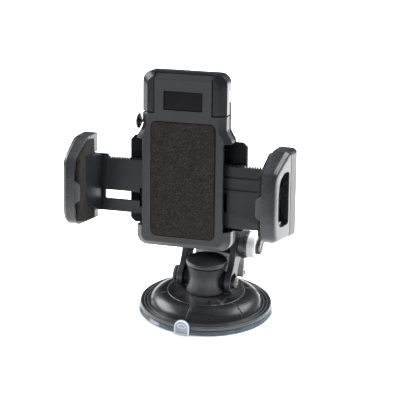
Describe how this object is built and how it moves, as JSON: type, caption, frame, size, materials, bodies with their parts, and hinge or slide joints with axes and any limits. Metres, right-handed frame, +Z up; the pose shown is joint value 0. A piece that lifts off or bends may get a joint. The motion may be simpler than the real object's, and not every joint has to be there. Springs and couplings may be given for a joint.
{
  "type": "car phone mount",
  "caption": "Suction-base phone holder with a leaning fork, tilting head, and toothed side arms whose padded jaws close together on a phone.",
  "frame": {"origin": "middle of the suction pad's flat underside", "axes": "+Z up from the surface it sticks to, -Y the way the holder faces, +X to the right seen from the front"},
  "size_m": [0.1268, 0.1118, 0.1544],
  "materials": {
    "satin_black_plastic": "satin moulded plastic",
    "deep_black_plastic": "semi-matte moulded plastic",
    "grey_plastic": "satin moulded plastic",
    "white_plastic": "satin moulded plastic",
    "foam_rubber": "fine-celled sponge",
    "steel": "bright zinc plate",
    "clear_rubber": "glossy translucent"
  },
  "bodies": {
    "base": {"base_housing": "satin_black_plastic", "suction_pad": "clear_rubber", "lifter_spring": "steel"},
    "lifter": {"lifter_plate": "deep_black_plastic", "lever_pin": "steel"},
    "lever": {"suction_lever": "grey_plastic"},
    "turret": {"turret_post": "satin_black_plastic", "post_cap": "deep_black_plastic", "turret_screw": "steel", "turret_retainer": "steel"},
    "fork_link": {"fork": "satin_black_plastic", "lower_bolt": "steel", "lower_nut": "steel", "upper_nut": "steel", "upper_bolt": "steel", "clamp_collar": "deep_black_plastic", "clamp_sleeve": "white_plastic", "clamp_ring": "deep_black_plastic"},
    "knob": {"lower_knob": "deep_black_plastic"},
    "clamp": {"clamp_screw": "steel"},
    "head": {"tilt_head": "satin_black_plastic"},
    "holder": {"front_shell": "satin_black_plastic", "back_shell": "deep_black_plastic", "foam_pad": "foam_rubber", "window_panel": "deep_black_plastic", "claw_plate": "deep_black_plastic", "swivel_screw": "steel", "swivel_washer": "steel", "pinion_axle": "steel", "pinion_spring": "steel", "pawl_pin": "steel", "button_spring": "steel", "body_screw_1": "steel", "body_screw_2": "steel", "body_screw_3": "steel", "body_screw_4": "steel"},
    "slider": {"top_slider": "satin_black_plastic"},
    "gear": {"pinion": "white_plastic"},
    "pawl": {"ratchet_pawl": "white_plastic"},
    "button": {"release_button": "deep_black_plastic"},
    "left_jaw": {"left_arm": "satin_black_plastic", "left_jaw_shell": "satin_black_plastic", "left_jaw_cover": "satin_black_plastic", "left_jaw_pad": "foam_rubber", "left_jaw_screw_1": "steel", "left_jaw_screw_2": "steel"},
    "right_jaw": {"right_arm": "satin_black_plastic", "right_jaw_shell": "satin_black_plastic", "right_jaw_cover": "satin_black_plastic", "right_jaw_pad": "foam_rubber", "right_jaw_screw_1": "steel", "right_jaw_screw_2": "steel"}
  },
  "joints": [
    {"name": "suction_lever_hinge", "type": "hinge", "parent": "lifter", "child": "lever", "pos_m": [0, 0.0248, 0.0146], "axis": [-1, 0, 0], "range_deg": [0, 110]},
    {"name": "lifter_slide", "type": "slide", "parent": "base", "child": "lifter", "axis": [0, 0, 1], "range_m": [0, 0.0012], "deforming": ["lifter_spring"]},
    {"name": "turret_turn", "type": "hinge", "parent": "base", "child": "turret", "pos_m": [0, 0, 0.02], "axis": [0, 0, 1], "continuous": true},
    {"name": "fork_hinge", "type": "hinge", "parent": "turret", "child": "fork_link", "pos_m": [0, 0, 0.019], "axis": [1, 0.0087, 0], "range_deg": [-4, 50]},
    {"name": "lower_knob_turn", "type": "hinge", "parent": "fork_link", "child": "knob", "pos_m": [0, 0, 0.019], "axis": [1, 0.0087, 0], "continuous": true},
    {"name": "clamp_screw_turn", "type": "hinge", "parent": "fork_link", "child": "clamp", "pos_m": [-0.00011, 0.0128, 0.03871], "axis": [1, 0.0087, 0], "continuous": true},
    {"name": "head_tilt", "type": "hinge", "parent": "fork_link", "child": "head", "pos_m": [-0.00011, 0.0128, 0.03871], "axis": [-1, -0.0087, 0], "range_deg": [-10, 75]},
    {"name": "holder_swivel", "type": "hinge", "parent": "head", "child": "holder", "pos_m": [0.0004, -0.04548, 0.08009], "axis": [-0.0087, 0.9924, -0.1227], "continuous": true},
    {"name": "top_slider_slide", "type": "slide", "parent": "holder", "child": "slider", "axis": [-0.0534, 0.1221, 0.9911], "range_m": [0, 0.012]},
    {"name": "left_jaw_slide", "type": "slide", "parent": "holder", "child": "left_jaw", "axis": [0.9985, 0.0151, 0.0519], "range_m": [0, 0.019]},
    {"name": "right_jaw_slide", "type": "slide", "parent": "holder", "child": "right_jaw", "axis": [-0.9985, -0.0151, -0.0519], "range_m": [0, 0.019]},
    {"name": "pinion_turn", "type": "hinge", "parent": "holder", "child": "gear", "pos_m": [0.0002, -0.04016, 0.08235], "axis": [-0.0087, 0.9924, -0.1227], "range_deg": [0, 272.16]},
    {"name": "button_press", "type": "slide", "parent": "holder", "child": "button", "axis": [0.9985, 0.0151, 0.0519], "range_m": [0, 0.0007], "stiffness_N_per_m": 300, "springref_m": -0.001},
    {"name": "pawl_turn", "type": "hinge", "parent": "holder", "child": "pawl", "pos_m": [-0.01144, -0.03721, 0.11273], "axis": [-0.0087, 0.9924, -0.1227], "range_deg": [0, 3.7]}
  ],
  "couplings": [
    {"joint": "suction_lever_hinge", "follows": "lifter_slide", "rad_per_m": 1598.3},
    {"joint": "right_jaw_slide", "follows": "left_jaw_slide", "ratio": 1},
    {"joint": "pinion_turn", "follows": "left_jaw_slide", "rad_per_m": 250},
    {"joint": "pawl_turn", "follows": "button_press", "rad_per_m": 92}
  ]
}
